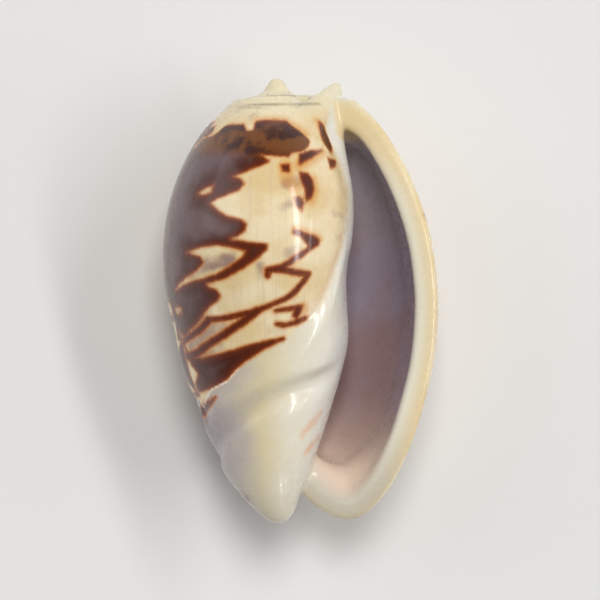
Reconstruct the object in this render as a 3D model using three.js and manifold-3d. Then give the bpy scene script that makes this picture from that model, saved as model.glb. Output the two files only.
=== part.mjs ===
// An olive shell, grown as one piece. It lies on its back, with the aperture up and the spire towards +Y.
// Millimetres, +Z up. The origin is under the middle of the shell, on the surface that it rests on.
// The coil is one curve, the outer edge of the lip, turned about an axis while it grows.

import * as THREE from 'three';
import { LoftGeometry } from 'three/addons/geometries/LoftGeometry.js';
import { mergeVertices } from 'three/addons/utils/BufferGeometryUtils.js';
import Module from 'manifold-3d';

// Driving dimensions. A depth is measured from the spire's tip along the coil's axis, a radius out from that axis.
const LENGTH = 50;
const AXIS_X = -2.66; // the axis lies beside the middle of the shell's width
const AXIS_HEIGHT = 14.45; // and this far above the surface
const GROWTH = 2; // times larger with each turn
const GROWTH_CENTRE = 6.8; // depth of the point on the axis that the coil grows away from
const LIP_ANGLE = 15; // degrees about the axis, from +X up towards +Z
const WALL = 2; // thickness of the last whorl's wall
const LIP_SWELL = 0.7; // how much thicker it is at the lip
const SWELL_STARTS = 40; // degrees back from the lip where it begins to thicken
const TOP_DEPTH = 2.45; // depth of the flat spire top on the axis
const TOP_SLOPE = 0.11; // the flat top's fall towards the aperture side
const TOP_POLE = -7; // where the whorl's curve meets the axis, before the top is cut flat
const ANTERIOR_POLE = 44; // where it meets the axis again, inside the columella

// The lip's outer edge, [radius, depth], from above the flat top, over the shoulder, to the siphonal end
const LIP_EDGE = [
  [3.0, -3.6], [6.2, -0.4], [9.2, 2.6], [12.1, 5.6], [14.6, 9.6], [16.4, 13.6], [17.7, 17.8],
  [18.4, 22.2], [18.6, 26.1], [18.2, 31.4], [17.1, 36.4], [15.4, 41.7], [13.2, 46.1], [10.7, 49.0],
];
// It goes on as a curl into the siphonal notch, and further back as the cone under the fasciole
const NOTCH_CURL = [[8.3, 49.97], [6.2, 49.6], [4.2, 48.5], [2.6, 47.0], [1.4, 45.0]];
const FASCIOLE_CONE = [[8.3, 50.9], [6.2, 51.9], [4.2, 52.6], [2.6, 52.9], [1.4, 53.0]];
const CURL_ENDS = 15; // degrees back from the lip where the curl begins to turn into the cone
const CONE_STARTS = 90; // and where the cone is reached

// The hollow inside the last whorl
const HOLLOW_ROOF = 2.9; // where it starts below the spire, counted in points along the lip's edge
const HOLLOW_NARROWS = 165; // degrees back from the lip where it begins to narrow
const HOLLOW_ENDS = 225; // and where it ends
const HOLLOW_END_WIDTH = 0.1; // the share of its width that is left there
const LIP_OVERCUT = 0.4; // degrees that it runs past the lip, to leave its mouth open

// The columella and the fasciole round it: [depth, right, left, up, down] of each oval section from the axis
const COLUMELLA = [
  [18, 5.6, -5.4, 6.6, -5.0], [22, 7.0, -6.8, 7.6, -5.6], [25.5, 7.9, -8.4, 8.0, -6.2],
  [29.5, 8.1, -10.2, 7.9, -7.2], [33, 7.4, -10.2, 7.5, -8.0], [36.5, 6.4, -8.95, 6.8, -8.0],
  [40, 5.3, -7.5, 6.0, -7.2], [44, 3.85, -6.15, 5.3, -5.0], [47, 2.7, -3.9, 4.8, -1.6],
  [49, 1.9, -1.85, 4.3, 0.6], [50, 1.0, -0.8, 3.5, 1.8],
];

// Rounded ribs, [x, depth, z, radius] from the axis: the callus that ends in the spur beside the spire,
// and the web from the spur to the spire's rim
const CALLUS = [
  [6.75, 0.9, 0.3, 0.4], [6.15, 2.4, 0.5, 1.1], [5.8, 4.5, 0.8, 1.7], [5.75, 7.1, 0.9, 1.9],
  [6.2, 10, 1.2, 1.85], [6.6, 13.5, 1.6, 1.8], [6.5, 18, 2.2, 1.5],
];
const SPUR_WEB = [[6.6, 1.3, 0.5, 0.5], [5.5, 2.45, 1.4, 1.0], [4.3, 4.0, 2.4, 1.6], [3.4, 5.6, 2.8, 2.0]];

// The spire's nipple, [radius, depth], from inside the spire to its tip
const NIPPLE = [[0, 4.0], [3.6, 3.0], [2.6, 2.3], [1.5, 1.47], [1.05, 0.8], [0.72, 0.27], [0.5, 0.1], [0, 0]];

// Facets
const EDGE_STEPS = 42;
const TURN_STEPS = 48;
const HOLLOW_EDGE_STEPS = 30;
const HOLLOW_TURN_STEPS = 25;
const OVAL_SIDES = 28;
const RIB_SIDES = 12;
const NIPPLE_SIDES = 20;

const SHELL_COLOUR = 0xcbb08a;
const SHELL_ROUGHNESS = 0.2;

const { degToRad, lerp, smoothstep } = THREE.MathUtils;
const wasm = await Module();
wasm.setup();

// A closed geometry as a solid that can be joined and cut
function solid(geometry) {
  const positions = new THREE.BufferGeometry().copy(geometry);
  positions.deleteAttribute('normal');
  positions.deleteAttribute('uv');
  const merged = mergeVertices(positions);
  const corners = merged.index.array;
  const triVerts = [];
  for (let i = 0; i < corners.length; i += 3) {
    const [a, b, c] = corners.slice(i, i + 3);
    if (a !== b && b !== c && c !== a) triVerts.push(a, b, c);
  }
  const vertProperties = merged.attributes.position.array;
  return new wasm.Manifold(new wasm.Mesh({ numProp: 3, vertProperties, triVerts: new Uint32Array(triVerts) }));
}

// A point from the axis, at a depth below the spire's tip
function fromAxis(x, depth, z) {
  return new THREE.Vector3(AXIS_X + x, LENGTH / 2 - depth, AXIS_HEIGHT + z);
}

// A point at a turn, in degrees from the lip
function atTurn(turn, radius, depth) {
  const angle = degToRad(LIP_ANGLE + turn);
  return fromAxis(radius * Math.cos(angle), depth, radius * Math.sin(angle));
}

// The lip's edge as it stood at an earlier turn
function edgeAt(turn) {
  const size = GROWTH ** (turn / 360);
  const aged = 1 - smoothstep(turn, -CONE_STARTS, -CURL_ENDS);
  const tail = NOTCH_CURL.map(([radius, depth], i) => [radius, lerp(depth, FASCIOLE_CONE[i][1], aged)]);
  return new THREE.SplineCurve([...LIP_EDGE, ...tail].map(([radius, depth]) =>
    new THREE.Vector2(radius * size, GROWTH_CENTRE + (depth - GROWTH_CENTRE) * size),
  ));
}

// A point on the inside of a wall under an edge
function insidePoint(edge, thickness, t) {
  const tangent = edge.getTangent(t);
  return edge.getPoint(t).add(new THREE.Vector2(-tangent.y, tangent.x).multiplyScalar(thickness));
}

// Evenly spaced values from first to last
function spread(first, last, steps) {
  return Array.from({ length: steps + 1 }, (_, i) => lerp(first, last, i / steps));
}

// The outside: a full turn of growing half-sections, closed by the flat face at the lip
function whorl() {
  const along = spread(1, 0, EDGE_STEPS);
  const sections = spread(-360, 0, TURN_STEPS).map((turn) => {
    const edge = edgeAt(turn);
    const points = along.map((t) => edge.getPoint(t)).map((p) => atTurn(turn, p.x, p.y));
    return [atTurn(turn, 0, ANTERIOR_POLE), ...points, atTurn(turn, 0, TOP_POLE)];
  });
  return solid(new LoftGeometry([...sections, sections[0]], { closed: false }));
}

// The hollow between the last whorl's wall and the whorl before it
function hollow() {
  const roof = HOLLOW_ROOF / (LIP_EDGE.length + NOTCH_CURL.length - 1);
  const along = spread(roof, 1, HOLLOW_EDGE_STEPS);
  const section = (turn) => {
    const narrowing = (1 - HOLLOW_END_WIDTH) * (1 - smoothstep(turn, -HOLLOW_ENDS, -HOLLOW_NARROWS));
    const thickness = WALL + LIP_SWELL * smoothstep(turn, -SWELL_STARTS, 0);
    const [core, wall] = [edgeAt(turn - 360), edgeAt(turn)];
    const inside = along.map((t) => core.getPoint(t));
    const outside = along.map((t, i) => insidePoint(wall, thickness, t).lerp(inside[i], narrowing));
    return [...inside, ...outside.reverse()];
  };
  const ring = (turn, points) => points.map((p) => atTurn(turn, p.x, p.y));
  const rings = spread(-HOLLOW_ENDS, 0, HOLLOW_TURN_STEPS).map((turn) => ring(turn, section(turn)));
  const mouth = ring(LIP_OVERCUT, section(0));
  return solid(new LoftGeometry([...rings, mouth], { capStart: true, capEnd: true }));
}

// The columella: oval sections along the axis
function columella() {
  const rings = COLUMELLA.map(([depth, right, left, up, down]) =>
    spread(0, 2 * Math.PI, OVAL_SIDES).slice(0, -1).map((angle) => {
      const x = (right + left) / 2 + ((right - left) / 2) * Math.cos(angle);
      const z = (up + down) / 2 + ((up - down) / 2) * Math.sin(angle);
      return fromAxis(x, depth, z);
    }),
  );
  return solid(new LoftGeometry(rings, { capStart: true, capEnd: true }));
}

// A rounded rib: circles across a smooth curve through its points
function rib(points) {
  const path = new THREE.CatmullRomCurve3(points.map(([x, depth, z]) => fromAxis(x, depth, z)));
  const radii = points.map((p) => p[3]);
  const frames = path.computeFrenetFrames(points.length - 1);
  const rings = points.map((_, i) => {
    const centre = path.getPoint(i / (points.length - 1));
    return spread(0, 2 * Math.PI, RIB_SIDES).slice(0, -1).map((angle) =>
      centre.clone()
        .addScaledVector(frames.normals[i], radii[i] * Math.cos(angle))
        .addScaledVector(frames.binormals[i], radii[i] * Math.sin(angle)),
    );
  });
  return solid(new LoftGeometry(rings, { capStart: true, capEnd: true }));
}

// The spire's nipple, turned about the axis
function nipple() {
  const profile = NIPPLE.map(([radius, depth]) => new THREE.Vector2(radius, -depth));
  const tip = fromAxis(0, 0, 0);
  return solid(new THREE.LatheGeometry(profile, NIPPLE_SIDES).translate(tip.x, tip.y, tip.z));
}

// Everything above the flat spire top
function aboveTop() {
  const height = 20;
  const top = fromAxis(0, TOP_DEPTH, 0);
  const block = new THREE.BoxGeometry(2 * LENGTH, height, 2 * LENGTH).translate(0, height / 2, 0);
  block.rotateX(Math.atan(TOP_SLOPE)).translate(top.x, top.y, top.z);
  return solid(block);
}

// Everything below the surface that the shell rests on, which leaves its small flat spot
function belowSurface() {
  const depth = 10;
  return solid(new THREE.BoxGeometry(2 * LENGTH, 2 * LENGTH, depth).translate(0, 0, -depth / 2));
}

function shell() {
  const body = whorl().subtract(hollow()).subtract(aboveTop())
    .add(columella()).add(rib(CALLUS)).add(rib(SPUR_WEB)).add(nipple())
    .subtract(belowSurface());
  const { numProp, vertProperties, triVerts } = body.getMesh();
  const geometry = new THREE.BufferGeometry();
  geometry.setAttribute('position', new THREE.BufferAttribute(vertProperties, numProp));
  geometry.setIndex(new THREE.BufferAttribute(triVerts, 1));
  geometry.computeVertexNormals();
  const mesh = new THREE.Mesh(
    geometry,
    new THREE.MeshStandardMaterial({ color: SHELL_COLOUR, roughness: SHELL_ROUGHNESS, metalness: 0 }),
  );
  mesh.name = 'shell';
  return mesh;
}

const oliveShell = new THREE.Group();
oliveShell.add(shell());

export default oliveShell;
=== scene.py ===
import bpy
import numpy as np
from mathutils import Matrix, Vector


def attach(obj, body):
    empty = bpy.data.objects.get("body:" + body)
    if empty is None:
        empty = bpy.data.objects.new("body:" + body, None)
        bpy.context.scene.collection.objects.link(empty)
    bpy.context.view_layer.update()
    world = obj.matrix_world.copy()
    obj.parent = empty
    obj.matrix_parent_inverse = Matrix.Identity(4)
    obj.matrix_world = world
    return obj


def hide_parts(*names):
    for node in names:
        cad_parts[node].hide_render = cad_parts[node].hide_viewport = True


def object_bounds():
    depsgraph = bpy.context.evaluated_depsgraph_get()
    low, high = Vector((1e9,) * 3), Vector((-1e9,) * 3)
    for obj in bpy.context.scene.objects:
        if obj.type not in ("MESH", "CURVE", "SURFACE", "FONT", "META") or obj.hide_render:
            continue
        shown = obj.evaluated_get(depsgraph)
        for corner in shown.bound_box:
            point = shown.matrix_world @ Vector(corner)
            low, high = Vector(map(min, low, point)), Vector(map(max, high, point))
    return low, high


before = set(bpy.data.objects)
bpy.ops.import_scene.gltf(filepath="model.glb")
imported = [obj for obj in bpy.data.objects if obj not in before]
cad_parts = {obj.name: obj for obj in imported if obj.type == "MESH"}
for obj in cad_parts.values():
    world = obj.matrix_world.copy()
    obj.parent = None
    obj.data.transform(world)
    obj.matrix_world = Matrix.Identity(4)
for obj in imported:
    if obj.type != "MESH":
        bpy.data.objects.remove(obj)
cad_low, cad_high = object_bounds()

# An olive shell lying on its back, as one surface with its growth marks and colours.
# Lengths are millimetres, and metres only where a mesh, a light or the camera is made. A place is x from
# the coil's axis towards the lip, depth from the spire's tip towards the siphonal notch, and z up from the
# axis. An angle is in degrees about the axis: 0 towards the lip's side, 90 up. A coil angle goes on falling
# from the lip's, back round the coil.
MM = 0.001
LENGTH = (cad_high.y - cad_low.y) / MM
# The axis, across the frame and above the flat spot that the shell rests on
AXIS_X = -2.66
AXIS_HEIGHT = 14.45
# How far the surface reaches from the axis
REACH_LEFT = 13.2
REACH_RIGHT = 18.4
REACH_UP = 11.2
# The mesh's step
STEP = 0.295
# A distance past which no line or marking shows
FAR = 5.0
# The distance from the lip's rim that the core is given
OFF_RIM = 9.0
# A length that only keeps a division from zero
TINY = 1e-9
# Steps from a grid's end that keep a place inside its last cell
LAST_CELL = 1.001

# How many times larger each turn of the coil is than the turn before, and the depth that it grows from
GROWTH = 2.0
GROWTH_CENTRE = 6.8
LIP_ANGLE = 15.0
# Angles count up this far past the lip, across the mouth
MOUTH_SPAN = 60
# The wall, how it swells at the lip and at the notch, and what fills the coil where the hollow ends
WALL = 2.0
LIP_SWELL = 0.7
NOTCH_SWELL = 2.5
NOTCH_DEPTHS = (38, 47)
HOLLOW_FILL = 16
HOLLOW_END = (-150, -215)
# The hollow's roof under the spire: its depth in the mouth, and how much lower it lies behind the lip
ROOF_DEPTH = 5.0
ROOF_DROP = 2.2
ROOF_ANGLES = (14, -16)
# The part of its size that the core draws in by, from the mouth to behind the lip
CORE_SHRINK = 0.06
SHRINK_ANGLES = (70, 10)
# How far two forms run into each other where they meet
HOLLOW_BLEND = 2.2
CORE_BLEND = 2.0
SPUR_BLEND = 1.2
WEB_BLEND = 1.0
LIP_BLEND = 1.0
MOUTH_BLEND = 0.8
COLUMELLA_BLEND = 0.6
NIPPLE_BLEND = 0.5
CREASE_BLEND = 0.2
# The last whorl's blend with the core, at the mouth, and how much wider it is on the back
WHORL_BLEND = 0.5
BACK_BLEND = 1.5

# The lip's outer edge, (radius, depth), and its two tails: the curl at the notch and the cone further back
LIP_EDGE = [
    (3.0, -3.6), (6.2, -0.4), (9.2, 2.6), (12.1, 5.6), (14.6, 9.6), (16.4, 13.6), (17.7, 17.8),
    (18.4, 22.2), (18.6, 26.1), (18.2, 31.4), (17.1, 36.4), (15.4, 41.7), (13.2, 46.1), (10.7, 49.0),
]
NOTCH_CURL = [(8.3, 49.97), (6.2, 49.6), (4.2, 48.5), (2.6, 47.0), (1.4, 45.0)]
FASCIOLE_CONE = [(8.3, 50.9), (6.2, 51.9), (4.2, 52.6), (2.6, 52.9), (1.4, 53.0)]

# The columella's oval sections: (depth, right, left, up, down) from the axis
COLUMELLA = [
    (18, 5.6, -5.4, 6.6, -5.0), (22, 7.0, -6.8, 7.6, -5.6), (25.5, 7.9, -8.4, 8.0, -6.2),
    (29.5, 8.1, -10.2, 7.9, -7.2), (33, 7.4, -10.2, 7.5, -8.0), (36.5, 6.4, -8.95, 6.8, -8.0),
    (40, 5.3, -7.5, 6.0, -7.2), (44, 3.85, -6.15, 5.3, -5.0), (47, 2.7, -3.9, 4.8, -1.6),
    (49, 1.85, -1.8, 4.3, 0.6), (50, 0.9, -0.6, 3.5, 1.8),
]
# The callus that ends in the spur, and the web from the spur to the spire: (x, depth, z, radius)
CALLUS = [
    (6.75, 1.05, 0.3, 0.42), (6.15, 2.4, 0.5, 1.1), (5.8, 4.5, 0.8, 1.7), (5.75, 7.1, 0.9, 1.9),
    (6.2, 10, 1.2, 1.85), (6.6, 13.5, 1.6, 1.8), (6.5, 18, 2.2, 1.5),
]
SPUR_WEB = [(6.6, 1.4, 0.5, 0.55), (5.5, 2.45, 1.4, 1.0), (4.3, 4.0, 2.4, 1.6), (3.4, 5.6, 2.8, 2.0)]
# The spire: its nipple, (depth, radius), and its rim's depth round the coil, (coil angle, depth)
NIPPLE = [(0.0, 0.0), (0.06, 0.35), (0.27, 0.72), (0.8, 1.05), (1.47, 1.5), (2.3, 2.6), (3.2, 4.0)]
SPIRE_RIM = [
    (-345, 3.0), (-310, 3.1), (-270, 3.15), (-225, 3.25), (-180, 3.35), (-135, 2.7), (-90, 1.95),
    (-45, 1.9), (15, 2.6),
]

# The spire's edge at the lip, and the nipple's foot
SPIRE_RADIUS = 9.05
FOOT_RADIUS = 2.4
FOOT_DEPTH = 2.0
# Distance to the nipple's side for each step across it, and the depth that it ends at inside the spire
NIPPLE_SLOPE = 0.75
NIPPLE_END = 4
# The suture's groove just inside the spire's edge: its drop, place and half width, and the depth of the
# older turn's groove
SUTURE_DROP = 0.6
SUTURE_INSET = 0.6
SUTURE_WIDTH = 0.22
OLD_SUTURE_DEPTH = 0.12
# A rib's curve is cut into this many points, and looked for this far beyond its radius
RIB_POINTS = 24
RIB_MARGIN = 2

# The photograph shows the shell from its aperture side, called the front here, and from its back.
# The shell's length and the spire's tip in pixels, and the back view's lean in the picture and its turn
# about the axis, in degrees
LENGTH_PIXELS = 443
PIXEL = LENGTH / LENGTH_PIXELS
FRONT_TIP = (418, 86)
BACK_TIP = (161, 86)
BACK_LEAN = 3
BACK_TURN = 25
# The coil angles that each view shows
FRONT_ANGLES = np.arange(-344.0, -184.0, 2.0)
BACK_ANGLES = np.arange(-203.0, -27.0, 2.0)

# The fasciole's line, where the markings end, and its ridge, in pixels of the two views. Their starts and
# ends, past what the views show, are rows of coil angle and depth.
LINE_BACK = [(130, 494), (169, 471), (210, 443), (256, 410)]
LINE_FRONT = [
    (340, 404), (355, 396), (370, 388), (393, 364), (432, 341), (447, 325), (462, 305), (474, 278),
    (486, 238),
]
LINE_START = [(-352, 12)]
LINE_END = [(-40, 50), (20, 52)]
RIDGE_FRONT = [(364, 418), (398, 398), (434, 382), (474, 369)]
RIDGE_START = [(-352, 31)]
RIDGE_END = [(-150, 43), (-80, 50), (20, 55)]
# The relief there: the band between them, the valley under the ridge and the line itself
BAND_HEIGHT = 0.7
VALLEY_DEPTH = 0.65
LINE_HEIGHT = 0.06
# The least radius that a marking is unrolled at
LEAST_RADIUS = 2.0

# Markings of the front, in pixels: dark ones as outlines, and as lines with a width
FRONT_PATCHES = {
    "shoulder_blotch": [(346, 145), (345, 141), (352, 137), (358, 135), (355, 141), (350, 145)],
    "dark_field": [
        (345, 148), (356, 146), (362, 141), (369, 135), (386, 135), (389, 142), (396, 141), (398, 132),
        (407, 130), (428, 131), (436, 138), (444, 144), (451, 151), (449, 157), (443, 161), (433, 163),
        (430, 167), (402, 165), (411, 172), (404, 176), (386, 183), (376, 187), (384, 190), (387, 194),
        (382, 200), (371, 205), (362, 208), (354, 213), (363, 221), (371, 225.5), (384, 229),
        (389.5, 234), (388, 240), (381, 245), (374, 248.5), (391, 251), (410, 253), (409.5, 258.5),
        (402, 266), (390, 273.5), (378, 281), (366, 286.5), (350, 291.5), (352, 295), (360, 298),
        (363.5, 303), (361, 309), (353, 314.5), (346, 322), (340, 331), (327, 344), (319, 336),
        (308, 310), (304, 275), (306, 240), (314, 205), (328, 172), (340, 153),
    ],
    "lower_mass": [
        (426, 343.5), (410, 347), (395, 350.5), (378, 356), (360, 361), (345, 365), (331, 363),
        (334, 372), (341, 381), (338, 392), (341, 400), (352, 396), (363, 390.5), (371, 384), (379, 375),
        (387, 368), (397, 361.5), (406, 356), (416, 351), (427, 346),
    ],
    "left_edge": [(309, 318), (316, 323), (320, 337), (325, 349), (319, 347), (313, 334)],
    "zigzag_head": [(436, 238), (446, 242), (456, 244), (461, 249), (460, 254), (452, 259), (447, 252)],
    "fasciole_mark": [(346, 426), (343, 415), (350, 408), (361, 402), (357, 411), (350, 421)],
    "hook_end": [(437, 313), (445, 312), (443, 319), (439, 326), (434, 324)],
    "spur_streak": [(460, 131), (465, 135), (471, 146), (475, 156), (472, 162), (466, 153), (462, 143)],
    "spur_spot": [(469, 168), (477, 170), (476, 176), (471, 178)],
    "red_wedge": [(464, 160), (452, 161), (441, 165), (441, 175), (446, 172), (456, 166)],
    "glow_patch": [
        (441, 183), (449, 184), (454, 190), (455, 199), (452, 208), (448, 211), (447, 200), (443, 193),
    ],
    "small_drop": [(436, 208), (441, 207), (445, 213), (443, 221), (438, 216)],
    "orange_spot": [(424, 176), (431, 175), (431, 182), (425, 181)],
}
FRONT_LINES = {
    "upper_zigzag": (5.0, [
        (437, 241), (449, 246), (457, 251), (449, 259), (437, 267), (425, 275), (410, 278),
    ]),
    "middle_zigzag": (5.2, [
        (410, 284), (410, 278), (424, 278), (436, 280.5), (450, 282.5), (443, 292), (436, 300),
        (428, 306), (414, 312), (402, 317), (388, 321), (370, 325), (351, 327),
    ]),
    "long_streak": (7.0, [(400, 318), (384, 330), (368, 341), (352, 351), (340, 360), (330, 364)]),
    "hook_arm": (4.5, [(418, 318), (431, 316), (442, 314.5)]),
    "hook_foot": (5.0, [(446, 325.5), (436, 330), (427, 332), (419, 331)]),
    "short_streak": (6.0, [(352, 328), (344, 336), (334, 343), (327, 348)]),
    "growth_edge": (2.4, [(316, 322), (319, 333), (325, 347), (331, 362), (337, 375)]),
}
# Cream gaps inside the dark markings
FRONT_GAPS = {
    "lens": [
        (330, 261), (345, 256), (360, 254), (380, 257), (389, 259.5), (387, 265), (374, 275), (360, 283),
        (345, 287), (328, 292), (318, 298), (330, 285), (340, 279), (347, 271), (344, 265),
    ],
    "left_lens": [(341, 203), (350, 197), (357, 195), (355, 202), (347, 205)],
    "left_spot": [(317, 316), (320, 313.5), (324, 315), (324.5, 319), (321.5, 322), (318, 320.5)],
}
# Faint markings that show through the glaze, as lines with a width. The veils over the cream gaps on the
# left are partly such markings and partly painted sheen and shade, the grey-mauve cast of the left side.
FRONT_VEILED_AND_SHEEN = {
    "spire_dot": (3.0, [(381, 118.5), (386, 117)]),
    "shoulder_dot": (4.0, [(394, 126), (398, 123)]),
    "parietal_mark": (4.5, [(474, 222), (481, 225), (487, 228)]),
    "parietal_smudge": (6.0, [(485, 240), (479, 248)]),
    "glow_smudge": (9.0, [(428, 194), (438, 192)]),
    "drop_smudge": (7.0, [(426, 217), (431, 215)]),
    "head_smudge": (9.0, [(430, 262), (440, 257)]),
    "zigzag_smudge": (7.0, [(403, 274), (406, 284)]),
    "hook_smudge": (8.0, [(415, 335), (423, 338)]),
    "field_smudge": (8.0, [(346, 324), (338, 334)]),
    "siphon_smudge": (7.0, [(376, 497), (390, 504)]),
    # Partly faint markings, partly painted sheen and shade: veils over the cream gaps on the left
    "lens_veil": (13.0, [(334, 280), (352, 272), (374, 269)]),
    "gap_veil": (9.0, [(343, 203), (356, 197)]),
    "margin_veil": (10.0, [(314, 312), (322, 318), (326, 326)]),
    "upper_gap_veil": (13.0, [(334, 352), (350, 340), (364, 333)]),
    "lower_gap_veil": (10.0, [(334, 364), (348, 360), (362, 352)]),
}
# Markings of the back, in the same order. The field that runs on past the view's right edge is a guess.
BACK_PATCHES = {
    "dark_field": [
        (78, 137), (100, 134), (128, 134), (136, 129), (168, 128), (181, 132), (187, 139), (189, 160),
        (190, 172), (188, 180), (172, 191), (164, 197), (182, 202), (187, 207), (174, 221), (162, 230),
        (187, 237), (201, 241), (203, 248), (199, 259), (194, 270), (206, 282), (228, 291), (214, 300),
        (200, 307), (172, 313), (205, 316), (234, 316), (222, 325), (208, 333), (197, 343), (212, 345),
        (221, 352), (221, 361), (214, 372), (206, 381), (202, 395), (222, 394), (239, 391), (236, 399),
        (228, 411), (214, 422), (192, 436), (165, 455), (150, 464), (137, 452), (125, 440), (112, 425),
        (103, 410), (97, 395), (90, 365), (84, 340), (78, 290), (74, 250), (76, 215), (70, 200),
        (58, 190), (55, 175), (62, 160), (70, 147),
    ],
    "left_flank": [
        (226, 146), (243, 158), (236, 170), (254, 182), (246, 194), (262, 204), (252, 218), (268, 229),
        (257, 242), (272, 254), (262, 266), (273, 278), (262, 290), (268, 304), (310, 304), (310, 150),
    ],
    "shoulder_right": [
        (203, 128), (222, 126), (231, 128), (240, 143), (246, 155), (256, 172), (260, 180), (252, 186),
        (246, 176), (240, 160), (232, 150), (222, 140), (212, 137),
    ],
    "right_edge": [
        (250, 192), (258, 192), (268, 199), (272, 212), (277, 228), (281, 250), (278, 262), (274, 245),
        (268, 225), (262, 208), (256, 199),
    ],
    "right_step": [(262, 296), (281, 296), (281, 304), (268, 303)],
    "right_tent": [(244, 314), (262, 316), (278, 318), (272, 325), (256, 322), (246, 320)],
    "right_lower": [
        (272, 342), (266, 352), (258, 362), (256, 372), (258, 385), (262, 395), (268, 372), (272, 355),
    ],
    "lip_blotch": [
        (37, 370), (48, 367), (58, 366), (72, 372), (74, 381), (68, 393), (66, 410), (74, 415), (84, 420),
        (92, 428), (102, 432), (100, 440), (84, 446), (70, 450), (58, 448), (60, 435), (52, 420),
        (50, 405), (47, 392), (40, 381),
    ],
}
BACK_LINES = {
    "scar": (4.5, [
        (70, 245), (74, 275), (80, 310), (86, 345), (91, 368), (97, 392), (104, 410), (113, 424),
        (125, 438), (136, 451),
    ]),
    "right_zigzag": (5.0, [
        (256, 236), (246, 244), (240, 251), (246, 258), (243, 266), (252, 271), (268, 275),
    ]),
    "right_hook": (5.0, [(272, 280), (264, 288), (263, 297)]),
    "lower_line": (5.0, [(231, 406), (246, 401), (262, 396)]),
    "lower_streak": (7.0, [(160, 461), (185, 447), (205, 436), (220, 430)]),
    "upper_hook": (6.0, [(86, 453), (78, 457), (75, 465), (77, 474)]),
    "second_hook": (6.0, [(106, 453), (100, 462), (92, 468), (97, 476)]),
    "large_hook": (6.0, [(118, 479), (106, 484), (102, 492), (105, 502), (112, 510), (116, 516)]),
    "small_hook": (5.0, [(124, 494), (122, 503), (127, 511), (134, 511)]),
}
BACK_GAPS = {
    "upper_gap": [(118, 298), (140, 291), (160, 287), (150, 293), (130, 298)],
    "second_gap": [(148, 310), (168, 302), (172, 303), (160, 309)],
    "long_gap": [(116, 337), (140, 329), (158, 323), (172, 320), (158, 328), (136, 335)],
    "lower_gap": [(162, 454), (185, 433), (204, 411), (208, 414), (188, 438), (168, 453)],
    "scar_gap": [(101, 392), (108, 392), (115, 410), (116, 420), (108, 412)],
}
BACK_VEILED = {
    "shoulder_mark": (5.0, [(105, 124), (118, 116), (135, 115), (160, 119), (178, 120)]),
    "fasciole_band": (16.0, [(250, 418), (228, 440), (200, 460)]),
    "notch_mark": (7.0, [(141, 505), (155, 502), (172, 497)]),
    "notch_spot": (5.0, [(188, 477), (197, 471)]),
    "hook_trail": (6.0, [(112, 475), (140, 472), (165, 470)]),
    "shoulder_veil": (20.0, [(196, 150), (214, 148)]),
}
# Where the back's dark field is chestnut, not violet
BACK_CHESTNUT = {
    "middle_band": (44.0, [(168, 150), (166, 190), (160, 235), (150, 275)]),
    "lower_band": (56.0, [(140, 372), (160, 395), (165, 425)]),
}
# Zigzags of brown beside the lip
BACK_ZIGZAGS = {
    "lip_zigzag": (7.0, [
        (62, 205), (50, 222), (38, 231), (58, 244), (45, 251), (38, 262), (52, 268), (62, 274), (48, 283),
        (38, 295), (34, 303), (50, 309), (64, 316), (66, 328), (58, 339), (46, 345),
    ]),
    "lip_foot": (7.0, [(36, 350), (48, 352), (58, 360), (46, 366)]),
}
# The lip's own side, which neither view shows, carries on the zigzags, in rows of coil angle and depth
LIP_ZIGZAGS = {
    "back_column": (7.0, [
        (-21, 8), (-14, 9.6), (-20, 11.2), (-12, 12.4), (-18, 15.4), (-13, 16.2), (-22, 18.6),
        (-14, 21.4), (-19, 22.4), (-11, 24.3), (-20, 27.6), (-14, 28.6), (-19, 31.2), (-12, 33.5),
    ]),
    "middle_column": (6.0, [
        (-6, 10), (1, 10.9), (-5, 13.2), (2, 13.8), (-3, 16.6), (3, 18.4), (-6, 19.8), (0, 23.1),
        (-5, 24.2), (3, 26.0), (-4, 29.3), (1, 30.4), (-7, 32.4), (-1, 35.4), (-6, 37.0),
    ]),
    "lip_column": (5.0, [
        (7, 14), (11, 15.4), (6, 16.2), (9, 18.8), (5, 20.1), (10, 22.9), (7, 24.0), (10, 27.1),
        (5, 28.1), (9, 31.2),
    ]),
}
# An amber glow beside some markings of the front
AMBER_GLOW = {
    "field_top": (5.0, [(398, 130), (410, 128), (428, 129), (438, 137), (447, 144)]),
    "spur_glow": (5.0, [(458, 130), (463, 140), (468, 152)]),
    "wedge_glow": (7.0, [(440, 176), (448, 173), (464, 163)]),
    "patch_glow": (10.0, [(428, 178), (430, 190), (436, 197)]),
    "patch_side": (5.0, [(456, 188), (457, 200), (453, 211)]),
    "head_glow": (5.0, [(436, 237), (450, 241), (462, 248)]),
    "hook_glow": (6.0, [(446, 313), (449, 322), (441, 332)]),
    "parietal_line": (3.0, [(448, 326), (462, 304), (473, 280), (483, 245)]),
    "spire_smudge": (3.0, [(428, 103), (434, 101)]),
}
# Where the front's dark field is chestnut, not violet
FRONT_CHESTNUT = {
    "shoulder_band": (32.0, [(352, 147), (385, 150), (420, 150), (443, 152)]),
}
# Peach streaks on the columella and the nipple, in pixels of the front
PEACH_STREAKS = {
    "upper_streak": (6.0, [(444, 440), (452, 431), (461, 421)]),
    "lower_streak": (5.0, [(447, 459), (453, 452), (460, 445)]),
    "nipple_mark": (3.5, [(427, 101), (434, 103)]),
}


def smoothstep(start, end, value):
    t = np.clip((value - start) / (end - start), 0, 1)
    return t * t * (3 - 2 * t)


def smooth_min(a, b, reach):
    """The lesser of two values, rounded off where they come within a reach of each other"""
    near = np.maximum(reach - np.abs(a - b), 0) / reach
    return np.minimum(a, b) - near * near * reach / 4


def smooth_max(a, b, reach):
    return -smooth_min(-a, -b, reach)


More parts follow.
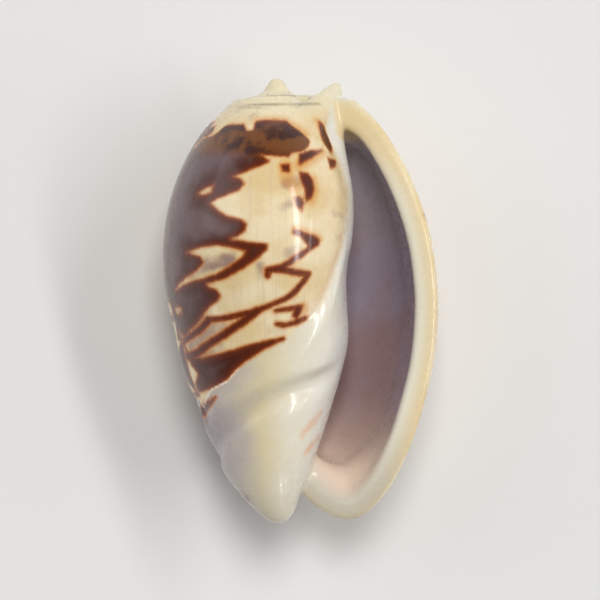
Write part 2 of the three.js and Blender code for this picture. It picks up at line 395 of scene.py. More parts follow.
def smooth_curve(points, count=240):
    """Points on a Catmull-Rom curve through the given ones"""
    p = np.array(points, float)
    p = np.vstack([p[0], p, p[-1]])
    spans = len(points) - 1
    t = np.linspace(0, spans, count)
    i = np.minimum(t.astype(int), spans - 1)
    w = (t - i)[:, None]
    a, b, c, d = p[i], p[i + 1], p[i + 2], p[i + 3]
    start, end = (c - a) / 2, (d - b) / 2
    return (2 * b - 2 * c + start + end) * w**3 + (3 * c - 3 * b - 2 * start - end) * w**2 + start * w + b


def along(points, value, column=1):
    """A column of given rows as a smooth function of their first number"""
    curve = smooth_curve(points)
    return np.interp(value, curve[:, 0], curve[:, column])


def segment_distance(x, y, a, b):
    """Distance from points in a plane to a straight piece"""
    (ax, ay), (bx, by) = a, b
    dx, dy = bx - ax, by - ay
    t = np.clip(((x - ax) * dx + (y - ay) * dy) / max(dx * dx + dy * dy, TINY), 0, 1)
    return np.hypot(x - ax - t * dx, y - ay - t * dy)


def outline_distance(x, y, outline):
    """Signed distance to a closed outline in a plane, negative inside"""
    distance = np.full(x.shape, np.inf)
    inside = np.zeros(x.shape, bool)
    for a, b in zip(outline, np.roll(outline, -1, 0)):
        distance = np.minimum(distance, segment_distance(x, y, a, b))
        crosses = (a[1] > y) != (b[1] > y)
        if a[1] != b[1]:
            inside ^= crosses & (x < (b[0] - a[0]) * (y - a[1]) / (b[1] - a[1]) + a[0])
    return np.where(inside, -distance, distance)


def line_distance(x, y, line):
    """Distance to an open line in a plane"""
    return np.min([segment_distance(x, y, a, b) for a, b in zip(line[:-1], line[1:])], axis=0)


def look_up(grid, row, column):
    """A grid's values at places between its points, counted in steps along its two directions"""
    row, column = (np.clip(at, 0, size - LAST_CELL) for at, size in zip((row, column), grid.shape))
    i, j = row.astype(int), column.astype(int)
    u, v = row - i, column - j
    near = grid[i, j] * (1 - u) + grid[i + 1, j] * u
    far = grid[i, j + 1] * (1 - u) + grid[i + 1, j + 1] * u
    return near * (1 - v) + far * v


class EdgeDistance:
    """Signed distance to the lip's edge with a tail, looked up in a grid over radius and depth"""

    step = 0.25
    radii = np.arange(0.0, 40.0, step)
    depths = np.arange(-40.0, 90.0, step)

    def __init__(self, tail):
        edge = smooth_curve(LIP_EDGE + tail)
        behind = -100.0
        outline = np.vstack([edge, [(behind, edge[-1, 1]), (behind, edge[0, 1])]])
        self.grid = outline_distance(*np.meshgrid(self.radii, self.depths, indexing="ij"), outline)

    def __call__(self, radius, depth):
        row, column = radius - self.radii[0], depth - self.depths[0]
        return look_up(self.grid, row / self.step, column / self.step)


curled = EdgeDistance(NOTCH_CURL)
coned = EdgeDistance(FASCIOLE_CONE)


def whorl(angle, radius, depth):
    """Distance to the outside of the coil as it stood at an angle"""
    size = GROWTH ** ((angle - LIP_ANGLE) / 360)
    r, d = radius / size, GROWTH_CENTRE + (depth - GROWTH_CENTRE) / size
    aged = smoothstep(LIP_ANGLE - 15, LIP_ANGLE - 90, angle)
    return size * (curled(r, d) * (1 - aged) + coned(r, d) * aged)


def columella(x, depth, z):
    """Distance to the columella, an oval at each depth"""
    right, left, up, down = (along(COLUMELLA, depth, column) for column in (1, 2, 3, 4))
    half_x, half_z = (right - left) / 2, (up - down) / 2
    q = np.hypot((x - (right + left) / 2) / half_x, (z - (up + down) / 2) / half_z)
    oval = (q - 1) * np.minimum(half_x, half_z)
    return np.maximum(smooth_max(oval, depth - LENGTH, COLUMELLA_BLEND), COLUMELLA[0][0] - depth)


def rib(points, x, depth, z):
    """Distance to a round rib along a smooth curve, for the points near it"""
    curve = smooth_curve(points, RIB_POINTS)
    margin = curve[:, 3].max() + RIB_MARGIN
    distance = np.full(x.shape, margin)
    near = np.ones(x.shape, bool)
    for value, column in zip((x, depth, z), curve.T):
        near &= (value > column.min() - margin) & (value < column.max() + margin)
    p = np.stack([x[near], depth[near], z[near]], -1)
    nearest = np.full(len(p), margin)
    for a, b in zip(curve[:-1], curve[1:]):
        run = b[:3] - a[:3]
        t = np.clip((p - a[:3]) @ run / (run @ run), 0, 1)
        piece = np.linalg.norm(p - a[:3] - t[:, None] * run, axis=1) - (a[3] + (b[3] - a[3]) * t)
        nearest = np.minimum(nearest, piece)
    distance[near] = nearest
    return distance


def angle_of(x, z):
    """Degrees about the axis, from just past the lip back round the last whorl"""
    angle = np.degrees(np.arctan2(z, x))
    return np.where(angle > LIP_ANGLE + MOUTH_SPAN, angle - 360, angle)


def spire_rim(angle):
    """The coil angle, radius and depth of the spire's edge; past the lip they are the earlier whorl's"""
    coil = np.where(angle > LIP_ANGLE, angle - 360, angle)
    return coil, SPIRE_RADIUS * GROWTH ** ((coil - LIP_ANGLE) / 360), along(SPIRE_RIM, coil)


def spire_top(angle, radius):
    """Depth of the spire's surface, from the nipple's foot out to its rim, with the groove of the suture"""
    coil, rim, rim_depth = spire_rim(angle)
    drop = SUTURE_DROP * smoothstep(LIP_ANGLE - 5, LIP_ANGLE - 60, coil)
    out = (radius - FOOT_RADIUS) / (rim - FOOT_RADIUS)
    step = smoothstep(rim - 0.85, rim - 0.55, radius)
    channel = np.exp(-((radius - rim + SUTURE_INSET) / SUTURE_WIDTH) ** 2)
    suture = np.exp(-((radius - rim / GROWTH) / SUTURE_WIDTH) ** 2)
    top = FOOT_DEPTH + (rim_depth - drop - FOOT_DEPTH) * np.clip(out, 0, 1.6)
    return top + drop * (step + 0.4 * channel) + OLD_SUTURE_DEPTH * suture


def shell_parts(x, depth, z):
    """Distances to the last whorl's wall, to the core inside it and to the hollow between them"""
    radius = np.hypot(x, z)
    angle = angle_of(x, z)
    outside = whorl(angle, radius, depth)
    thickness = WALL + LIP_SWELL * smoothstep(LIP_ANGLE - 40, LIP_ANGLE, angle)
    thickness = thickness + HOLLOW_FILL * smoothstep(*HOLLOW_END, angle)
    at_notch = NOTCH_SWELL * smoothstep(*NOTCH_DEPTHS, depth)
    thickness = thickness + at_notch * smoothstep(LIP_ANGLE, LIP_ANGLE - 30, angle)
    roof = ROOF_DEPTH + ROOF_DROP * smoothstep(*ROOF_ANGLES, angle)
    hollow = smooth_max(outside + thickness, roof - depth, HOLLOW_BLEND)
    wall = smooth_max(outside, -hollow, MOUTH_BLEND)
    wall = smooth_max(wall, radius * np.radians(angle - LIP_ANGLE), LIP_BLEND)
    shrink = 1 - CORE_SHRINK * smoothstep(*SHRINK_ANGLES, angle) * (angle > -180)
    earlier = whorl(angle - 360, radius / shrink, depth)
    core = smooth_min(earlier, columella(x, depth, z), CORE_BLEND)
    return wall, core, hollow


def coil_of(angle, wall, core, hollow):
    """The coil angle of points at an angle, and which of them lie on the whorl before the last"""
    in_mouth = (angle > LIP_ANGLE) | ((angle > LIP_ANGLE - 180) & (hollow < 1))
    before = (core < wall) & in_mouth
    return np.where(before, angle - 360, angle), before


def plain_field(x, depth, z):
    """Distance to the shell's surface without its fine relief, negative in the shell"""
    radius = np.hypot(x, z)
    angle = angle_of(x, z)
    wall, core, _ = shell_parts(x, depth, z)
    spire = spire_top(angle, radius) - depth
    spur = smooth_min(rib(CALLUS, x, depth, z), rib(SPUR_WEB, x, depth, z), WEB_BLEND)
    core = smooth_min(smooth_max(core, spire, CREASE_BLEND), spur, SPUR_BLEND)
    blend = WHORL_BLEND + BACK_BLEND * smoothstep(-60, -120, angle)
    body = smooth_min(core, smooth_max(wall, spire, CREASE_BLEND), blend)
    nipple_side = (radius - along(NIPPLE, depth)) * NIPPLE_SLOPE
    nipple = np.maximum(nipple_side, np.maximum(depth - NIPPLE_END, -depth))
    body = smooth_min(body, nipple, NIPPLE_BLEND)
    return smooth_max(body, -AXIS_HEIGHT - z, CREASE_BLEND)


class Outside:
    """The radius of the outermost surface, looked up in a grid over coil angle and depth"""

    angle_step = 4.0
    depth_step = 1.0
    radius_step = 0.4
    angles = np.arange(-344.0, 16.0, angle_step)
    depths = np.arange(0.0, LENGTH + 0.5, depth_step)
    radii = np.arange(radius_step, 20.0, radius_step)

    def __init__(self):
        angle, depth, radius = np.meshgrid(self.angles, self.depths, self.radii, indexing="ij")
        turn = np.radians(angle)
        values = plain_field(radius * np.cos(turn), depth, radius * np.sin(turn))
        leaves = (values[:, :, :-1] < 0) & (values[:, :, 1:] >= 0)
        last = leaves.shape[2] - 1 - np.argmax(leaves[:, :, ::-1], axis=2)
        a = np.take_along_axis(values, last[:, :, None], 2)[:, :, 0]
        b = np.take_along_axis(values, last[:, :, None] + 1, 2)[:, :, 0]
        found = self.radii[last] + self.radius_step * a / np.where(a == b, 1, a - b)
        self.grid = np.where(leaves.any(2), found, self.radius_step)

    def __call__(self, angle, depth):
        return look_up(self.grid, (angle - self.angles[0]) / self.angle_step, depth / self.depth_step)


outside_radius = Outside()


def on_shell(across, depth, angles, turn):
    """The coil angle at which the surface lies that far across a view, for a view turned about the axis"""
    found = []
    for offset, d in zip(across, depth):
        reach = outside_radius(angles, np.full(len(angles), d)) * np.cos(np.radians(angles + turn))
        order = np.argsort(reach)
        found.append(np.interp(offset, reach[order], angles[order]))
    return np.array(found)


def from_front(pixels):
    """Pixels of the front view as rows of coil angle and depth"""
    across, depth = ((np.array(pixels, float) - FRONT_TIP) * PIXEL).T
    return np.stack([on_shell(across, depth, FRONT_ANGLES, 0), depth], 1)


def from_back(pixels):
    """Pixels of the back view as rows of coil angle and depth"""
    dx, dy = ((np.array(pixels, float) - BACK_TIP) * PIXEL).T
    lean = np.radians(BACK_LEAN)
    across = dx * np.cos(lean) - dy * np.sin(lean)
    depth = dx * np.sin(lean) + dy * np.cos(lean)
    return np.stack([on_shell(-across, depth, BACK_ANGLES, BACK_TURN), depth], 1)


def by_angle(rows):
    return rows[np.argsort(rows[:, 0])]


fasciole_line = by_angle(np.vstack([LINE_END, from_back(LINE_BACK), from_front(LINE_FRONT), LINE_START]))
fasciole_ridge = by_angle(np.vstack([RIDGE_END, from_front(RIDGE_FRONT), RIDGE_START]))


def fasciole_relief(coil, depth):
    """How far the band between the fasciole's line and its ridge stands out, and the valley under it"""
    past_line = depth - np.interp(coil, *fasciole_line.T)
    past_ridge = depth - np.interp(coil, *fasciole_ridge.T)
    band = smoothstep(-0.5, 4.0, past_line) * smoothstep(1.3, -0.4, past_ridge)
    line = np.exp(-(past_line / 0.2) ** 2)
    valley = np.exp(-((past_ridge - 1.9) / 1.3) ** 2)
    front = smoothstep(-150, -205, coil) * smoothstep(-345, -300, coil)
    relief = front * (BAND_HEIGHT * band - VALLEY_DEPTH * valley)
    return relief + LINE_HEIGHT * line * smoothstep(-345, -325, coil)


def field(x, depth, z):
    """Distance to the shell's surface, negative in the shell"""
    coil, _ = coil_of(angle_of(x, z), *shell_parts(x, depth, z))
    return plain_field(x, depth, z) - fasciole_relief(coil, depth)


def surface_net(low, high, step):
    """Points and four-sided faces on the field's zero"""
    axes = [np.arange(lo, hi + step, step) for lo, hi in zip(low, high)]
    values = np.stack([field(*np.meshgrid([x], axes[1], axes[2], indexing="ij"))[0] for x in axes[0]])
    inside = values < 0
    corners = [(i, j, k) for i in (0, 1) for j in (0, 1) for k in (0, 1)]
    shape = np.array(values.shape) - 1

    def corner(array, c):
        return array[c[0]:c[0] + shape[0], c[1]:c[1] + shape[1], c[2]:c[2] + shape[2]]

    count = sum(corner(inside, c).astype(int) for c in corners)
    mixed = (count > 0) & (count < len(corners))
    cells = np.argwhere(mixed)
    number = np.full(shape, -1)
    number[mixed] = np.arange(len(cells))
    total, hits = np.zeros((len(cells), 3)), np.zeros(len(cells))
    for a in corners:
        for axis in range(3):
            if a[axis]:
                continue
            b = tuple(v + (n == axis) for n, v in enumerate(a))
            start, end = corner(values, a)[mixed], corner(values, b)[mixed]
            cut = (start < 0) != (end < 0)
            place = np.tile(np.array(a, float), (len(cells), 1))
            place[:, axis] += start / np.where(cut, start - end, 1)
            total[cut] += place[cut]
            hits += cut
    points = np.array(low) + (cells + total / hits[:, None]) * step
    faces = []
    for axis in range(3):
        one, two = (axis + 1) % 3, (axis + 2) % 3
        a = np.take(inside, range(inside.shape[axis] - 1), axis)
        b = np.take(inside, range(1, inside.shape[axis]), axis)
        edges = np.argwhere(a != b)
        leaving = a[tuple(edges.T)]
        ring = []
        for shift_one, shift_two in ((0, 0), (-1, 0), (-1, -1), (0, -1)):
            cell = edges.copy()
            cell[:, one] += shift_one
            cell[:, two] += shift_two
            ring.append(number[tuple(cell.T)])
        ring = np.stack(ring, 1)
        faces.append(np.where(leaving[:, None], ring, ring[:, ::-1]))
    return points, np.vstack(faces)[:, ::-1]


def settle(points, step, rounds=3):
    """Moves points onto the field's zero"""
    reach = step / 8
    least_slope = 0.1
    for _ in range(rounds):
        slopes = []
        for nudge in np.eye(3) * reach:
            slopes.append((field(*(points + nudge).T) - field(*(points - nudge).T)) / (2 * reach))
        slope = np.stack(slopes, 1)
        move = -(field(*points.T) / np.maximum((slope**2).sum(1), least_slope))[:, None] * slope
        length = np.linalg.norm(move, axis=1)[:, None]
        points = points + move * np.minimum(1, step / 2 / np.maximum(length, TINY))
    return points


class Markings:
    """Distances over the unrolled surface, in millimetres, from points given by coil angle and depth"""

    def __init__(self, coil, depth):
        self.coil, self.depth = coil, depth

    def unroll(self, rows):
        """The points and a marking's rows, both flattened about the marking's own middle"""
        middle = rows.mean(0)
        radius = max(float(np.mean(outside_radius(rows[:, 0], rows[:, 1]))), LEAST_RADIUS)
        flat = np.stack([np.radians(rows[:, 0] - middle[0]) * radius, rows[:, 1]], 1)
        return np.radians(self.coil - middle[0]) * radius, self.depth, flat

    def patches(self, outlines, view):
        """Distance to the nearest of some outlines in a view, negative inside"""
        distances = [outline_distance(*self.unroll(view(outline))) for outline in outlines.values()]
        return np.min(distances, axis=0)

    def lines(self, lines, view):
        """Distance to the edge of the nearest of some lines in a view, negative inside"""
        distances = []
        for width, line in lines.values():
            distances.append(line_distance(*self.unroll(view(line))) - width * PIXEL / 2)
        return np.min(distances, axis=0)


def both_views(distance, front, back):
    """The nearer of a table's markings in the front view and another's in the back view"""
    return np.minimum(distance(front, from_front), distance(back, from_back))


def marking_values(coil, depth, hidden):
    """Distances to the edges of the markings, which the hidden places lie far from"""
    marks = Markings(coil, depth)
    dark = both_views(marks.patches, FRONT_PATCHES, BACK_PATCHES)
    gaps = both_views(marks.patches, FRONT_GAPS, BACK_GAPS)
    lines = both_views(marks.lines, FRONT_LINES, BACK_LINES)
    zigzags = marks.lines(BACK_ZIGZAGS, from_back)
    guessed_zigzags = marks.lines(LIP_ZIGZAGS, np.array)
    return {
        "mark": np.minimum(np.maximum(dark, -gaps), lines) + hidden,
        # The veils include the painted sheen and shade over the left cream gaps
        "veiled_and_sheen": both_views(marks.lines, FRONT_VEILED_AND_SHEEN, BACK_VEILED) + hidden,
        "zigzag": np.minimum(zigzags, guessed_zigzags) + hidden,
        "amber": marks.lines(AMBER_GLOW, from_front),
        "chestnut": both_views(marks.lines, FRONT_CHESTNUT, BACK_CHESTNUT),
        "peach": marks.lines(PEACH_STREAKS, from_front),
    }


def seam_values(angle, radius, coil, depth):
    """Distance to the suture on the spire's top and to the shoulder's edge, and how much of them shows: the
    grey-brown line drawn there is partly painted shade in the groove and at the step
    """
    spire_coil, rim_radius, rim_depth = spire_rim(angle)
    near_top = smoothstep(0.5, 0.2, depth - spire_top(angle, radius))
    on_spire = near_top * smoothstep(0.3, -0.3, radius - rim_radius)
    shoulder = np.abs(depth - rim_depth)
    near_lip = smoothstep(LIP_ANGLE - 75, LIP_ANGLE, spire_coil)
    channel = np.abs(radius - rim_radius + SUTURE_INSET)
    suture = np.abs(radius - rim_radius / GROWTH + SUTURE_INSET * near_lip)
    on_top = np.minimum(channel + FAR * near_lip, suture)
    shoulder_shows = smoothstep(LIP_ANGLE, LIP_ANGLE - 90, coil)
    return {
        "seam": np.minimum(on_top, shoulder),
        "seam_shows": np.where(on_top < shoulder, on_spire, shoulder_shows),
    }


def fasciole_values(coil, depth):
    """How far the callus covers the ground past the fasciole's line, and the distance to that line"""
    past_line = depth - np.interp(coil, *fasciole_line.T)
    fade = 2.4 * smoothstep(-280, -305, coil)
    line_shows = smoothstep(-262, -240, coil) * smoothstep(-120, -170, coil)
    return {
        "callus": smoothstep(-0.1 - fade, 0.3 + fade, past_line),
        "line": np.abs(past_line) + FAR * (1 - line_shows),
    }


def surface_values(x, depth, z):
    """What the material reads at each point"""
    radius = np.hypot(x, z)
    angle = angle_of(x, z)
    wall, core, hollow = shell_parts(x, depth, z)
    coil, on_core = coil_of(angle, wall, core, hollow)
    into_mouth = radius * np.radians(LIP_ANGLE - angle)
    lip_wall = WALL + LIP_SWELL
    rim = np.clip(lip_wall - hollow, 0, lip_wall) + np.maximum(into_mouth, 0)
    within = smoothstep(1.6, 0.6, hollow)
    inner_wall = within * smoothstep(1.9, 4.6, rim)
    inner_core = within * smoothstep(0.3, 3.0, into_mouth)
    inside = np.where(on_core, inner_core, inner_wall)
    lip_face = smoothstep(1.0, 0.2, np.abs(into_mouth)) * smoothstep(2.8, 2.0, hollow)
    lip_side = np.maximum(within * smoothstep(-0.4, 0.2, into_mouth), lip_face)
    hidden = FAR * np.maximum(within * smoothstep(-2.0, 0.5, into_mouth), smoothstep(2.3, 1.0, depth))
    return {
        "coil": coil,
        "depth": depth,
        "mouth": np.where(on_core, inner_core, lip_side),
        "inside": inside * smoothstep(6.0, 8.0, depth),
        "rim": np.where(on_core, OFF_RIM, rim),
        "glaze": smoothstep(0.9, 0.1, rib(CALLUS, x, depth, z)),
        **fasciole_values(coil, depth),
        **seam_values(angle, radius, coil, depth),
        **marking_values(coil, depth, hidden),
    }


def shell_mesh():
    low = np.array([-REACH_LEFT, 0, -AXIS_HEIGHT]) - STEP
    high = (REACH_RIGHT, LENGTH + STEP, REACH_UP)
    points, faces = surface_net(low, high, STEP)
    points = settle(points, STEP)
    x, depth, z = points.T
    places = np.stack([AXIS_X + x, LENGTH / 2 - depth, AXIS_HEIGHT + z], 1) * MM
    places = np.clip(places, cad_low, cad_high)
    mesh = bpy.data.meshes.new("shell_surface")
    mesh.from_pydata(places.tolist(), [], faces.tolist())
    mesh.shade_smooth()
    for name, values in surface_values(x, depth, z).items():
        attribute = mesh.attributes.new(name, "FLOAT", "POINT")
        attribute.data.foreach_set("value", values.astype(np.float32))
    return mesh


def srgb(red, green, blue):
    """A colour given as it looks on screen, 0 to 255, in the renderer's linear values"""
    levels = np.array([red, green, blue]) / 255
    linear = np.where(levels < 0.04045, levels / 12.92, ((levels + 0.055) / 1.055) ** 2.4)
    return (*linear.tolist(), 1.0)


class Graph:
    """Short calls that add nodes to a material"""

    def __init__(self, name):
        self.material = bpy.data.materials.new(name)
        self.material.use_nodes = True
        self.tree = self.material.node_tree
        self.shader = self.tree.nodes["Principled BSDF"]

    def set(self, socket, value):
        if isinstance(value, bpy.types.NodeSocket):
            self.tree.links.new(value, socket)
        else:
            socket.default_value = value

    def node(self, kind, **inputs):
        node = self.tree.nodes.new(kind)
        for name, value in inputs.items():
            self.set(node.inputs[name.replace("_", " ")], value)
        return node

    def attribute(self, name):
        node = self.node("ShaderNodeAttribute")
        node.attribute_name = name
        return node.outputs["Fac"]

    def math(self, operation, *values):
        node = self.node("ShaderNodeMath")
        node.operation = operation
        for socket, value in zip(node.inputs, values):
            self.set(socket, value)
        return node.outputs[0]

    def jitter(self, value, noise, amount):
        """A value moved by a noise, to either side"""
        return self.math("MULTIPLY_ADD", self.math("SUBTRACT", noise, 0.5), amount, value)

    def fade(self, value, start, end, most=1.0):
        """From 0 where the value is at the start to the most where it is at the end"""
        node = self.node("ShaderNodeMapRange", Value=value, From_Min=start, From_Max=end, To_Max=most)
        node.interpolation_type = "SMOOTHSTEP"
        return node.outputs["Result"]

    def mix(self, amount, a, b):
        node = self.node("ShaderNodeMix")
        node.data_type = "RGBA"
        colour_a, colour_b = (socket for socket in node.inputs if socket.type == "RGBA")
        self.set(node.inputs["Factor"], amount)
        self.set(colour_a, a)
        self.set(colour_b, b)
        return next(socket for socket in node.outputs if socket.type == "RGBA")

    def noise(self, vector, scale, detail=3.0):
        return self.node("ShaderNodeTexNoise", Vector=vector, Scale=scale, Detail=detail).outputs["Fac"]

    def ramp(self, value, stops):
        node = self.node("ShaderNodeValToRGB", Fac=value)
        elements = node.color_ramp.elements
        while len(elements) < len(stops):
            elements.new(1.0)
        for element, (position, colour) in zip(elements, stops):
            element.position = position
            element.color = colour
        return node.outputs["Color"]


CREAM = srgb(230, 203, 150)
LIGHT_CREAM = srgb(242, 224, 184)
BEIGE = srgb(214, 188, 158)
MAUVE = srgb(148, 116, 110)
AMBER = srgb(218, 152, 60)
ZIGZAG_EDGE = srgb(196, 132, 74)
ZIGZAG_BROWN = srgb(122, 80, 70)
PEACH = srgb(232, 170, 118)
THIN_BROWN = srgb(112, 84, 84)
CHESTNUT = srgb(116, 66, 22)
DARK_BROWN = srgb(64, 28, 14)
# The seams' line: partly their own grey-brown, partly painted shade in the suture's groove and at the
# shoulder's step
SEAM_AND_SHADE = srgb(140, 122, 92)
SPIRE_PALE = srgb(230, 220, 186)
GLAZE = srgb(228, 229, 224)
WHITE = srgb(240, 236, 226)
VIOLET = srgb(192, 176, 190)
INNER_BROWN = srgb(184, 154, 150)
INNER_CREAM = srgb(236, 212, 190)
# Painted light: a paler inside colour that makes up for the shade at the hollow's top
INNER_PAINTED_LIGHT = srgb(222, 212, 216)
SIPHON_GREY = srgb(192, 184, 168)
RIM_CREAM = srgb(236, 214, 166)
RIM_WHITE = srgb(243, 235, 212)
# The dark markings' colours from their edge inwards, with the reach of these colours in millimetres and the
# part of it that the edge's own colour starts at
PIGMENT = [
    (0.0, srgb(212, 128, 34)), (0.06, srgb(154, 72, 14)), (0.14, srgb(100, 36, 6)),
    (0.35, srgb(72, 26, 10)), (0.55, srgb(84, 46, 38)), (0.95, srgb(100, 76, 82)),
]
PIGMENT_REACH = 3.0
PIGMENT_START = 0.06
# The callus's colours across the front, from its left side to the columella's edge, and the coil angles
# of those two
CALLUS_COLOURS = [
    (0.0, srgb(168, 158, 162)), (0.25, srgb(196, 184, 172)), (0.45, srgb(222, 208, 168)),
    (0.7, srgb(234, 226, 204)), (1.0, srgb(240, 237, 228)),
]
CALLUS_SPAN = (-195.0, -335.0)
# The noises' scales, to a metre
NOISE_SCALES = {"soft": 90.0, "cloud": 200.0, "blotches": 420.0, "fine": 900.0}
# The growth lines: noise over coil angle and depth, drawn out along the depth
GROWTH_SCALE = 0.7
GROWTH_DETAIL = 2.0
GROWTH_STRETCH = 0.08
GROWTH_RELIEF = 0.08
GROWTH_HEIGHT = 0.2 * MM
# The gloss
ROUGHNESS = 0.28
ROUGHNESS_CHANGE = 0.2
COAT = 0.5
COAT_ROUGHNESS = 0.09


def ground_colour(g, noise):
    """The cream ground with its faint markings and the painted sheen and shade over the left cream gaps,
    and the spur's glaze over them
    """
    ground = g.mix(g.fade(noise["cloud"], 0.35, 0.65), CREAM, LIGHT_CREAM)
    ground = g.mix(g.fade(noise["growth"], 0.5, 0.75, 0.5), ground, BEIGE)
    # Mauve veils: faint markings, and painted sheen and shade over the left side's cream gaps
    veiled_and_sheen = g.jitter(g.attribute("veiled_and_sheen"), noise["fine"], 0.8)
    veil = g.math("MULTIPLY", g.fade(veiled_and_sheen, 0.5, -0.4), g.fade(noise["cloud"], 0.7, 0.3, 0.9))
    ground = g.mix(veil, ground, MAUVE)
    zigzag = g.jitter(g.jitter(g.attribute("zigzag"), noise["fine"], 0.7), noise["cloud"], 2.4)
    ground = g.mix(g.fade(zigzag, 0.6, -0.2, 0.6), ground, ZIGZAG_EDGE)
    ground = g.mix(g.fade(zigzag, 0.1, -0.6, 0.75), ground, ZIGZAG_BROWN)
    amber = g.jitter(g.attribute("amber"), noise["cloud"], 0.8)
    ground = g.mix(g.fade(amber, 0.6, -0.3, 0.6), ground, AMBER)
    glaze = g.mix(g.fade(noise["soft"], 0.4, 0.65), GLAZE, WHITE)
    return g.mix(g.math("MULTIPLY", g.attribute("glaze"), 0.85), ground, glaze)


def callus_colour(g, noise):
    """The callus past the fasciole's line, greyer towards the notch, with its peach streaks"""
    across = g.fade(g.attribute("coil"), *CALLUS_SPAN)
    across.node.interpolation_type = "LINEAR"
    callus = g.ramp(g.jitter(across, noise["cloud"], 0.35), CALLUS_COLOURS)
    callus = g.mix(g.fade(g.attribute("depth"), 40.0, 50.0, 0.6), callus, SIPHON_GREY)
    veiled_and_sheen = g.jitter(g.attribute("veiled_and_sheen"), noise["fine"], 0.8)
    callus = g.mix(g.fade(veiled_and_sheen, 0.3, -0.4, 0.6), callus, MAUVE)
    peach = g.jitter(g.attribute("peach"), noise["fine"], 1.2)
    return g.mix(g.fade(peach, 0.6, -0.4, 0.6), callus, PEACH)


def with_spire(g, noise, ground):
    """The ground, paler towards the spire, with the seams' lines, partly painted shade in the suture's
    groove and at the shoulder's step
    """
    ground = g.mix(g.fade(g.attribute("depth"), 6.0, 2.5, 0.7), ground, SPIRE_PALE)
    # Seam lines: partly painted shade along the groove and the step
    seam = g.math("MULTIPLY", g.fade(g.attribute("seam"), 0.3, 0.0, 0.7), g.fade(noise["cloud"], 0.3, 0.6))
    return g.mix(g.math("MULTIPLY", seam, g.attribute("seam_shows")), ground, SEAM_AND_SHADE)


def with_markings(g, noise, ground):
    """The ground with the dark markings and the fasciole's white line"""
    edge = g.jitter(g.attribute("mark"), noise["fine"], 0.2)
    edge = g.jitter(g.jitter(edge, noise["growth"], 0.15), noise["cloud"], 0.35)
    pigment = g.ramp(g.math("MULTIPLY_ADD", edge, -1 / PIGMENT_REACH, PIGMENT_START), PIGMENT)
    thin = g.math("MULTIPLY", g.fade(edge, -0.4, -1.2), g.fade(noise["cloud"], 0.48, 0.64, 0.7))
    pigment = g.mix(thin, pigment, THIN_BROWN)
    band = g.math("MULTIPLY", g.fade(g.attribute("chestnut"), 0.8, -1.0), g.fade(edge, 0.2, -0.3))
    chestnut = g.mix(g.fade(noise["blotches"], 0.42, 0.58), DARK_BROWN, CHESTNUT)
    pigment = g.mix(band, pigment, chestnut)
    marked = g.mix(g.fade(edge, 0.46, -0.1), ground, pigment)
    return g.mix(g.fade(g.attribute("line"), 0.2, 0.06, 0.8), marked, WHITE)


def mouth_colour(g, noise):
    """The lip's rim and the violet inside, made paler towards the spire's end with painted light"""
    depth = g.attribute("depth")
    inner = g.mix(g.fade(noise["soft"], 0.4, 0.65), VIOLET, INNER_BROWN)
    inner = g.mix(g.fade(depth, 35.0, 45.0), inner, INNER_CREAM)
    # Painted light: the inside paler towards the spire's end, where the hollow's top lies in shade
    inner = g.mix(g.fade(depth, 24.0, 9.0), inner, INNER_PAINTED_LIGHT)
    rim = g.mix(g.fade(g.attribute("rim"), 2.2, 0.2), RIM_WHITE, RIM_CREAM)
    rim = g.mix(g.fade(depth, 14.0, 5.0), rim, RIM_CREAM)
    rim = g.mix(g.fade(depth, 36.0, 48.0, 0.7), rim, SIPHON_GREY)
    return g.mix(g.attribute("inside"), rim, inner)


def shell_material():
    g = Graph("shell")
    place = g.node("ShaderNodeTexCoord").outputs["Object"]
    noise = {name: g.noise(place, scale) for name, scale in NOISE_SCALES.items()}
    drawn_out = g.math("MULTIPLY", g.attribute("depth"), GROWTH_STRETCH)
    unrolled = g.node("ShaderNodeCombineXYZ", X=g.attribute("coil"), Y=drawn_out).outputs[0]
    noise["growth"] = g.noise(unrolled, GROWTH_SCALE, GROWTH_DETAIL)

    in_mouth, on_callus = g.attribute("mouth"), g.attribute("callus")
    ground = g.mix(on_callus, ground_colour(g, noise), callus_colour(g, noise))
    outer = with_markings(g, noise, with_spire(g, noise, ground))
    g.set(g.shader.inputs["Base Color"], g.mix(in_mouth, outer, mouth_colour(g, noise)))
    g.set(g.shader.inputs["Roughness"], g.jitter(ROUGHNESS, noise["fine"], ROUGHNESS_CHANGE))
    strength = g.fade(g.math("MAXIMUM", in_mouth, on_callus), 1.0, 0.0, GROWTH_RELIEF)
    relief = g.node("ShaderNodeBump", Strength=strength, Distance=GROWTH_HEIGHT, Height=noise["growth"])
    g.set(g.shader.inputs["Normal"], relief.outputs[0])
    g.shader.inputs["Coat Weight"].default_value = COAT
    g.shader.inputs["Coat Roughness"].default_value = COAT_ROUGHNESS
    return g.material


def add(name, data):
    """An object in the scene"""
    thing = bpy.data.objects.new(name, data)
    bpy.context.scene.collection.objects.link(thing)
    return thing


# The studio: lengths in metres, powers in watts
FLOOR_REACH = 1.5
FLOOR_COLOUR = (0.84, 0.83, 0.81, 1)
FLOOR_ROUGHNESS = 0.7
SKY_COLOUR = (0.96, 0.97, 1, 1)
SKY_AT_HORIZON = 0.7
SKY_ABOVE = 0.12
SKY_HEIGHT = 0.6


def studio_floor():
    mesh = bpy.data.meshes.new("floor")
    corners = [(FLOOR_REACH * x, FLOOR_REACH * y, 0) for x, y in ((-1, -1), (1, -1), (1, 1), (-1, 1))]
    mesh.from_pydata(corners, [], [(0, 1, 2, 3)])
    g = Graph("floor")
    g.shader.inputs["Base Color"].default_value = FLOOR_COLOUR
    g.shader.inputs["Roughness"].default_value = FLOOR_ROUGHNESS
    mesh.materials.append(g.material)
    return add("floor", mesh)


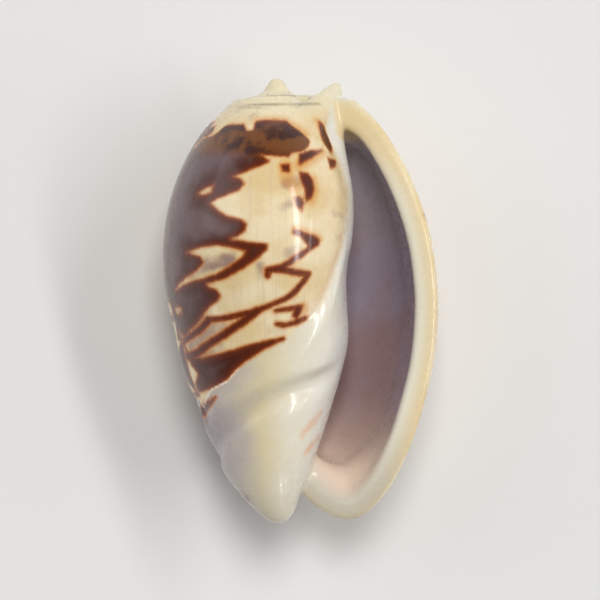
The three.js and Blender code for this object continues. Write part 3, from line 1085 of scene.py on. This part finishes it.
def studio_sky():
    """A world that is bright at the horizon and dim overhead"""
    world = bpy.data.worlds.new("studio")
    world.use_nodes = True
    nodes, links = world.node_tree.nodes, world.node_tree.links
    direction = nodes.new("ShaderNodeTexCoord").outputs["Generated"]
    height = nodes.new("ShaderNodeSeparateXYZ")
    links.new(direction, height.inputs[0])
    brightness = nodes.new("ShaderNodeMapRange")
    links.new(height.outputs["Z"], brightness.inputs["Value"])
    brightness.inputs["From Max"].default_value = SKY_HEIGHT
    brightness.inputs["To Min"].default_value = SKY_AT_HORIZON
    brightness.inputs["To Max"].default_value = SKY_ABOVE
    links.new(brightness.outputs["Result"], nodes["Background"].inputs["Strength"])
    nodes["Background"].inputs["Color"].default_value = SKY_COLOUR
    return world


def area_light(name, place, size, power, reflected=True):
    """A light that faces the shell, seen in its gloss or not"""
    data = bpy.data.lights.new(name, "AREA")
    data.shape = "RECTANGLE"
    data.size, data.size_y = size
    data.energy = power
    light = add(name, data)
    light.location = place
    light.rotation_euler = (-Vector(place)).to_track_quat("-Z", "Y").to_euler()
    light.visible_glossy = reflected


mesh = shell_mesh()
mesh.materials.append(shell_material())
shell = add("olive_shell", mesh)
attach(shell, "root")
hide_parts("shell")

floor = studio_floor()

bpy.context.scene.world = studio_sky()
area_light("left_softbox", (-1.3, 0.7, 0.96), (1.2, 1.6), 5)
area_light("right_key", (1.17, 0.25, 1.54), (1.7, 0.2), 13)
area_light("right_strip", (1.62, -0.1, 1.04), (0.9, 0.07), 1.5)
area_light("top_fill", (0.1, 0.6, 1.9), (0.6, 0.6), 18, reflected=False)

# The camera looks straight down, from where the picture's pixels are the photograph's
FRAME_PIXELS = 600
LENS = 200
SENSOR = 36
camera_data = bpy.data.cameras.new("camera")
camera_data.lens = LENS
camera_data.sensor_width = SENSOR
camera = add("camera", camera_data)
distance = FRAME_PIXELS * PIXEL * MM * LENS / SENSOR
camera.location = (0, 0, AXIS_HEIGHT * MM + distance)
bpy.context.scene.camera = camera
bpy.context.scene.view_settings.view_transform = "Standard"
